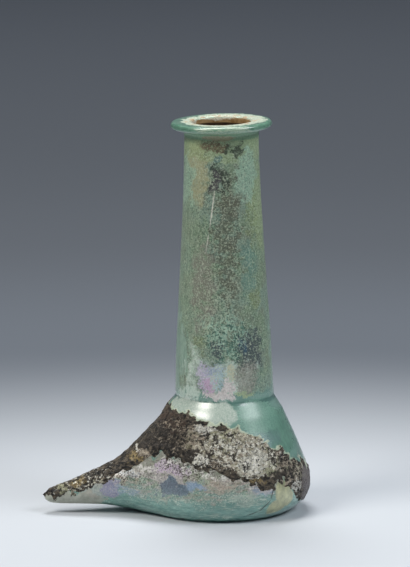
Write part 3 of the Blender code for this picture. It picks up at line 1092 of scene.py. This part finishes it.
# The crust is nearly black on the left, pale and flaky in its middle, and ochre along the horn
CRUST_COATS = (
    # Dark flaky ground, browner in places
    Coat("#0b0907", "#6e6353", FLAKE, 0.6, 0.0, 0.6, 1.0, GRIT, 1.0, (
        Patch((0, 0, 20), EVERYWHERE, 1.0, 0.1),
    )),
    Coat("#140d09", "#644b3a", GRIT, 0.65, 0.0, 0.5, 1.0, LUMP, 0.75, (
        Patch((-18, -6, 31), (6, 12, 5), 0.6),
        Patch((-9, -20, 25), (6, 9, 4), 0.55),
        Patch((16, -18, 22.6), (7, 9, 2.4), 0.6),
        Patch((-20, 8, 25), (8, 9, 6), 0.5),
    )),
    # Cream, olive, tan and white flakes; the whitest are partly painted glints
    Coat("#8a846a", "#fffae0", FLAKE, 0.5, 0.0, 0.6, 1.0, MOTTLE, 0.94, (
        Patch((1.5, -20, 25), (12.5, 14, 6), 0.8, 0.5),
        Patch((6, -22, 20), (9, 12, 4.4), 0.8, 0.5),
        Patch((-12, -18, 26), (3.6, 9, 4.4), 0.52, 0.5),
        Patch((22, -14, 15), (7, 10, 7), 0.44),
        Patch((-48, -3, 11), (12, 8, 5), 0.36, 0.5),
        Patch((0, 20, 21), (22, 14, 8), 0.52),
    )),
    Coat("#66684a", "#c6c6a2", GRIT, 0.5, 0.0, 0.4, 1.0, LUMP, 0.8, (
        Patch((12, -20, 20), (5, 10, 6), 0.6),
        Patch((-2, -20, 28), (6, 10, 2.4), 0.6),
        Patch((-53, -2, 9), (5, 8, 3), 0.5),
        Patch((3, -22, 24), (9, 10, 4), 0.52),
    )),
    Coat("#8a7c68", "#dccfbb", GRIT, 0.45, 0.0, 0.5, 1.4, FLAKE, 0.85, (
        Patch((-12.8, -17, 27.2), (4.4, 8, 3.6), 0.56),
        Patch((3, -20, 22.5), (15, 12, 7), 0.56, 0.5),
        Patch((-27.2, -8.5, 21), (2.4, 6, 1.6), 0.8, 0.5),
        Patch((-6, 22, 22), (14, 12, 6), 0.42),
        Patch((18, -18, 15), (8, 10, 8), 0.4),
        Patch((-18, -14, 27), (8, 12, 6), 0.4),
    )),
    Coat("#bab59e", "#fffdf2", GRIT, 0.4, 0.0, 0.6, 1.6, FLAKE, 0.95, (
        Patch((-7.6, -18, 30.2), (3.8, 9, 2.4), 0.6),
        Patch((6.6, -24, 19.8), (5.2, 9, 4), 0.92),
        Patch((-2, -22, 25.4), (8, 9, 2.6), 0.48),
        Patch((-9.6, -23, 20.2), (2.4, 6, 2), 0.6),
        Patch((10, 18, 18), (8, 12, 5), 0.45),
    )),
    # Black hollows and thin gaps
    Coat("#090705", "#443b30", GRIT, 0.7, 0.0, 0.5, 1.0, LUMP, 0.94, (
        Patch((-23, -10, 25), (7, 14, 3.8), 0.66),
        Patch((-13, -20, 22.4), (6, 10, 2.4), 0.6),
        Patch((-43.5, -5, 8.8), (9, 6, 2), 0.9, 0.5, 22.0),
        Patch((16, -21, 15), (4, 9, 2.6), 0.64),
        Patch((12.6, -21, 21.6), (2.4, 9, 3.6), 0.6, 0.6, 20.0),
        Patch((0, -24, 16.2), (9, 6, 1.6), 0.64),
        Patch((-34, -5, 14.4), (3, 6, 1.4), 0.7),
        Patch((-7, -21, 24), (1.2, 9, 5), 0.62, 0.7, 24.0),
        Patch((1, -21, 27.2), (9, 9, 0.9), 0.6, 0.7, 22.0),
        Patch((1, -23, 21.8), (8, 9, 0.9), 0.6, 0.7, 22.0),
    )),
    Coat("#070504", "#241c16", SPECK, 0.8, 0.0, 0.0, 0.6, VEIN, 0.75, (
        Patch((0, -18, 23), (20, 12, 10), 0.44, 0.5),
    )),
    # White flecks, partly painted glints, and ochre along the horn
    Coat("#d6d2c0", "#fffdf6", SPECK, 0.3, 0.0, 0.5, 1.8, GRIT, 0.97, (
        Patch((-7.8, -18, 30.4), (3.6, 9, 2), 0.56, 0.5),
        Patch((6.4, -24, 19.4), (3.6, 9, 3), 0.6, 0.5),
        Patch((0, -22, 24.4), (9, 9, 4), 0.44),
        Patch((-9.6, -23, 20.2), (2, 6, 1.8), 0.6),
        Patch((-29.1, -4.2, 21.2), (1.2, 4, 0.8), 0.9, 0.5),
        Patch((22, -16, 10), (3, 6, 3), 0.5, 0.5),
        Patch((-44, -3, 12), (14, 7, 5), 0.34),
    )),
    Coat("#75653f", "#c2ab78", GRIT, 0.6, 0.0, 0.4, 1.2, GRIT, 0.8, (
        Patch((-30.2, -7.5, 19), (2.6, 7, 2), 0.66),
        Patch((-48.4, -2.8, 10.3), (2.6, 5, 1.1), 0.7),
        Patch((7, -26, 14.6), (5, 6, 1.3), 0.52),
    )),
    # Grey on the right end
    Coat("#2c2828", "#989090", GRIT, 0.5, 0.0, 0.4, 0.8, MOTTLE, 0.8, (
        Patch((26.5, -6, 10), (4.6, 14, 8), 0.8, 0.5),
    )),
    # Small pale flecks, partly painted glints, and black gaps over all
    Coat("#c6c0aa", "#fffdf2", SPECK, 0.32, 0.0, 0.3, 1.8, GRIT, 0.92, (
        Patch((4, -20, 23), (18, 14, 8), 0.42, 0.4),
        Patch((-46, -4, 10), (14, 8, 6), 0.34, 0.5),
    )),
    Coat("#050403", "#1c1611", MOTTLE, 0.9, 0.0, 0.0, 1.6, GRIT, 0.92, (
        Patch((0, 0, 18), EVERYWHERE, 0.34, 0.1),
        Patch((-20, -12, 26), (10, 14, 9), 0.48, 0.5),
        Patch((-46, -4, 12), (16, 9, 8), 0.42, 0.5),
        Patch((20, -16, 18), (8, 12, 9), 0.44, 0.5),
    )),
)

# The pale line of bare deposit along the crust's upper border, on the glass and on the crust
CRUST_MARGIN = Coat("#a4b498", "#d8dec6", MOTTLE, 0.45, 0.05, 0.0, 1.2, MOTTLE, 0.9)


@dataclass(frozen=True)
class Softbox:
    """A soft oval lamp: degrees round to the right of the front, degrees up, metres away, size, brightness."""

    name: str
    round: float
    up: float
    away: float
    width: float
    depth: float
    radiance: float
    colour: str


@dataclass(frozen=True)
class Studio:
    """A pale floor, soft lamps, and the camera at the photograph's angle. The floor's painted falloff steps are
    rings, in metres from its bright middle, over which the paper is painted a darker tone, as if less light fell
    there."""

    aim: Triple = (-6.2 * MM, 0.0, 75.0 * MM)
    camera_round: float = -7.0
    camera_up: float = 10.1
    camera_away: float = 1.8
    sensor: float = 36.0
    frame_height: float = 185.3 * MM
    floor_r: float = 6.0
    floor_corners: int = 96
    floor_tone: str = "#c6cbd1"
    floor_middle: Triple = (-0.006, -0.06, 0.0)
    painted_falloff_steps: tuple[tuple[float, float, str], ...] = (
        (0.07, 0.35, "#636971"), (0.37, 0.6, "#5b6067"), (0.7, 1.5, "#747a83"),
    )
    floor_roughness: float = 0.9
    floor_gloss: float = 0.2
    surroundings: str = "#aab4c0"
    surroundings_light: float = 0.24
    lamps: tuple[Softbox, ...] = (
        Softbox("left_softbox", -64.0, 46.0, 1.2, 0.64, 0.4, 12.8, "#fffaf2"),
        Softbox("right_softbox", 61.0, 43.0, 1.2, 0.8, 0.58, 6.6, "#f8fbff"),
        Softbox("top_softbox", 180.0, 66.0, 1.1, 0.56, 0.56, 11.7, "#ffffff"),
    )

    def towards(self, round_by: float, up_by: float) -> Vector:
        """The direction from the flask at an angle round from the front and an angle up, in degrees."""
        turn, rise = math.radians(round_by), math.radians(up_by)
        return Vector((math.sin(turn) * math.cos(rise), -math.cos(turn) * math.cos(rise), math.sin(rise)))

    def build(self) -> None:
        """Makes the floor, the lamps, the surroundings and the camera."""
        self.add_floor()
        for lamp in self.lamps:
            self.add_lamp(lamp)
        self.add_surroundings()
        self.add_camera()

    def add_floor(self) -> None:
        """Adds a wide disc for the flask to stand on."""
        bpy.ops.object.select_all(action="DESELECT")
        bpy.ops.mesh.primitive_circle_add(vertices=self.floor_corners, radius=self.floor_r, fill_type="NGON")
        floor = bpy.context.active_object
        floor.name = floor.data.name = "floor"
        floor.data.materials.append(self.paper())

    def paper(self) -> bpy.types.Material:
        """Smooth matt backdrop paper, pale by the flask and painted darker away from it, as a painted falloff where
        less light falls.

        Returns:
            The material.
        """
        material = bpy.data.materials.new("pale_paper")
        material.use_nodes = True
        tree = material.node_tree
        place = add_node(tree, "ShaderNodeTexCoord", {}, {}).outputs["Object"]
        offset = add_node(tree, "ShaderNodeVectorMath", {"operation": "SUBTRACT"}, {0: place, 1: self.floor_middle})
        away = add_node(tree, "ShaderNodeVectorMath", {"operation": "LENGTH"}, {0: offset.outputs[0]})
        colour: Any = linear(self.floor_tone)
        # Painted falloff of light: each ring darkens the paper further from the flask
        for start, end, tone in self.painted_falloff_steps:
            ends = {"Value": away.outputs["Value"], "From Min": start, "From Max": end}
            step = add_node(tree, "ShaderNodeMapRange", SMOOTH_STEP, ends)
            tones = {0: step.outputs[0], 6: colour, 7: linear(tone)}
            colour = add_node(tree, "ShaderNodeMix", MIX_COLOURS, tones).outputs[2]
        shader = tree.nodes["Principled BSDF"]
        tree.links.new(colour, shader.inputs["Base Color"])
        shader.inputs["Roughness"].default_value = self.floor_roughness
        shader.inputs["Specular IOR Level"].default_value = self.floor_gloss
        return material

    def add_lamp(self, lamp: Softbox) -> None:
        """Adds one soft lamp that faces the flask.

        Args:
            lamp: The lamp.
        """
        data = bpy.data.lights.new(lamp.name, "AREA")
        data.shape = "ELLIPSE"
        data.size, data.size_y = lamp.width, lamp.depth
        area = lamp.width * lamp.depth * math.pi / 4
        data.energy = lamp.radiance * math.pi * area
        data.color = linear(lamp.colour)[:3]
        light = bpy.data.objects.new(lamp.name, data)
        direction = self.towards(lamp.round, lamp.up)
        light.location = Vector(self.aim) + direction * lamp.away
        light.rotation_euler = direction.to_track_quat("Z", "Y").to_euler()
        light.visible_camera = False
        bpy.context.scene.collection.objects.link(light)

    def add_surroundings(self) -> None:
        """Adds dim grey-blue light from all round."""
        world = bpy.data.worlds.new("studio")
        bpy.context.scene.world = world
        world.use_nodes = True
        background = world.node_tree.nodes["Background"]
        background.inputs["Color"].default_value = linear(self.surroundings)
        background.inputs["Strength"].default_value = self.surroundings_light

    def add_camera(self) -> None:
        """Places the camera, whose long side of the frame takes in frame_height at the flask."""
        data = bpy.data.cameras.new("camera")
        data.sensor_fit = "AUTO"
        data.sensor_width = self.sensor
        data.lens = self.sensor * self.camera_away / self.frame_height
        camera = bpy.data.objects.new("camera", data)
        direction = self.towards(self.camera_round, self.camera_up)
        camera.location = Vector(self.aim) + direction * self.camera_away
        camera.rotation_euler = direction.to_track_quat("Z", "Y").to_euler()
        bpy.context.scene.collection.objects.link(camera)
        bpy.context.scene.camera = camera
        bpy.context.scene.view_settings.view_transform = "Standard"


def main() -> None:
    """Builds the flask, its crust and the studio."""
    logging.basicConfig(level=logging.INFO, format="%(name)s: %(message)s")
    band = CrustBand()
    glass = Flask(band).build()
    BurialCrust(band).build(glass)
    Studio().build()


if __name__ == "__main__":
    main()
